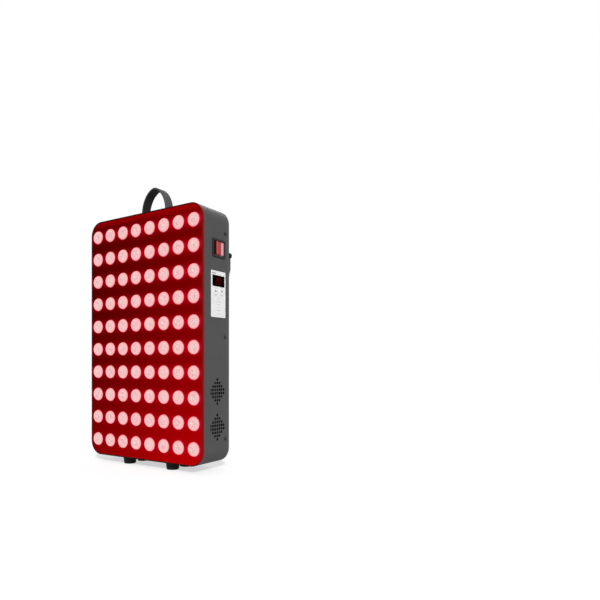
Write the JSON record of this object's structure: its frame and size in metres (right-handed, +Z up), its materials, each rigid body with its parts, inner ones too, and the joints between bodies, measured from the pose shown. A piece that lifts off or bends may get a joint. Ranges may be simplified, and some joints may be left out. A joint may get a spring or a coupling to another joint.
{
  "type": "red light therapy panel",
  "caption": "Upright rounded box panel with a grid of round lenses on its front, a rocker switch, a small display with buttons and vents on one side, a strap handle on top and rubber feet.",
  "frame": {"origin": "on the floor plane under the middle of the overall width and of the whole depth, lens crowns to rear bumpers", "axes": "+Z up; the lens face looks towards -Y; the switch and the control plate are on the +X side"},
  "size_m": [0.2402, 0.0752, 0.4308],
  "materials": {
    "case_paint": "fine satin powder coat, dark grey",
    "cover_paint": "fine satin powder coat, dark grey",
    "face_red": "glossy sheet, lit deep red by the lamps",
    "lens_clear": "clear moulded lenses, lit pale pink",
    "board_white": "white solder mask",
    "bare_aluminium": "bare extruded",
    "black_plastic": "moulded, fine texture",
    "guard_black": "black enamel",
    "screw_dark": "blackened",
    "screw_steel": "zinc plated",
    "rubber_black": "matt",
    "strap_black": "ribbed webbing under a rubber skin",
    "rocker_red": "translucent gloss red",
    "plate_white": "smooth white overlay",
    "button_white": "smooth white",
    "window_smoked": "smoked red window",
    "board_green": "green solder mask",
    "wire_black": "insulated wire"
  },
  "bodies": {
    "panel": {"bumper_left": "rubber_black", "bumper_right": "rubber_black", "case_shell": "case_paint", "control_board": "board_green", "control_plate": "plate_white", "display_window": "window_smoked", "face_plate": "face_red", "fan_frame_lower": "black_plastic", "fan_frame_upper": "black_plastic", "fan_guard_lower": "guard_black", "fan_guard_upper": "guard_black", "fan_screw_lower_1": "screw_dark", "fan_screw_lower_2": "screw_dark", "fan_screw_lower_3": "screw_dark", "fan_screw_lower_4": "screw_dark", "fan_screw_upper_1": "screw_dark", "fan_screw_upper_2": "screw_dark", "fan_screw_upper_3": "screw_dark", "fan_screw_upper_4": "screw_dark", "foot_front_left": "rubber_black", "foot_front_right": "rubber_black", "foot_rear_left": "rubber_black", "foot_rear_right": "rubber_black", "foot_screw_front_left": "screw_steel", "foot_screw_front_right": "screw_steel", "foot_screw_rear_left": "screw_steel", "foot_screw_rear_right": "screw_steel", "handle_cap_left": "black_plastic", "handle_cap_right": "black_plastic", "handle_screw_left": "screw_steel", "handle_screw_right": "screw_steel", "handle_strap": "strap_black", "hanger_lug_left": "cover_paint", "hanger_lug_right": "cover_paint", "heat_sink": "bare_aluminium", "lamp_board_lower": "board_white", "lamp_board_upper": "board_white", "lamp_driver": "bare_aluminium", "lens_plate_1": "lens_clear", "lens_plate_2": "lens_clear", "lens_plate_3": "lens_clear", "lens_plate_4": "lens_clear", "lens_plate_5": "lens_clear", "power_inlet": "black_plastic", "rear_cover": "cover_paint", "side_screw_left_lower": "screw_dark", "side_screw_left_middle": "screw_dark", "side_screw_left_upper": "screw_dark", "side_screw_right_lower": "screw_dark", "side_screw_right_middle": "screw_dark", "side_screw_right_upper": "screw_dark", "switch_housing": "black_plastic", "wire_driver_to_lamps": "wire_black", "wire_inlet_to_switch": "wire_black", "wire_switch_to_driver": "wire_black"},
    "rocker": {"switch_rocker": "rocker_red"},
    "button_front": {"button_front": "button_white"},
    "button_rear": {"button_rear": "button_white"},
    "fan_upper": {"fan_rotor_upper": "black_plastic"},
    "fan_lower": {"fan_rotor_lower": "black_plastic"}
  },
  "joints": [
    {"name": "switch_rock", "type": "hinge", "parent": "panel", "child": "rocker", "pos_m": [0.116, 0.00115, 0.3244], "axis": [0, 0, 1], "range_deg": [-14, 0]},
    {"name": "button_front_press", "type": "slide", "parent": "panel", "child": "button_front", "axis": [-1, 0, 0], "range_m": [0, 0.0005], "stiffness_N_per_m": 600, "springref_m": -0.0005},
    {"name": "button_rear_press", "type": "slide", "parent": "panel", "child": "button_rear", "axis": [-1, 0, 0], "range_m": [0, 0.0005], "stiffness_N_per_m": 600, "springref_m": -0.0005},
    {"name": "fan_upper_spin", "type": "hinge", "parent": "panel", "child": "fan_upper", "pos_m": [0, 0.0143, 0.2813], "axis": [0, 1, 0], "continuous": true},
    {"name": "fan_lower_spin", "type": "hinge", "parent": "panel", "child": "fan_lower", "pos_m": [0, 0.0143, 0.1163], "axis": [0, 1, 0], "continuous": true}
  ]
}
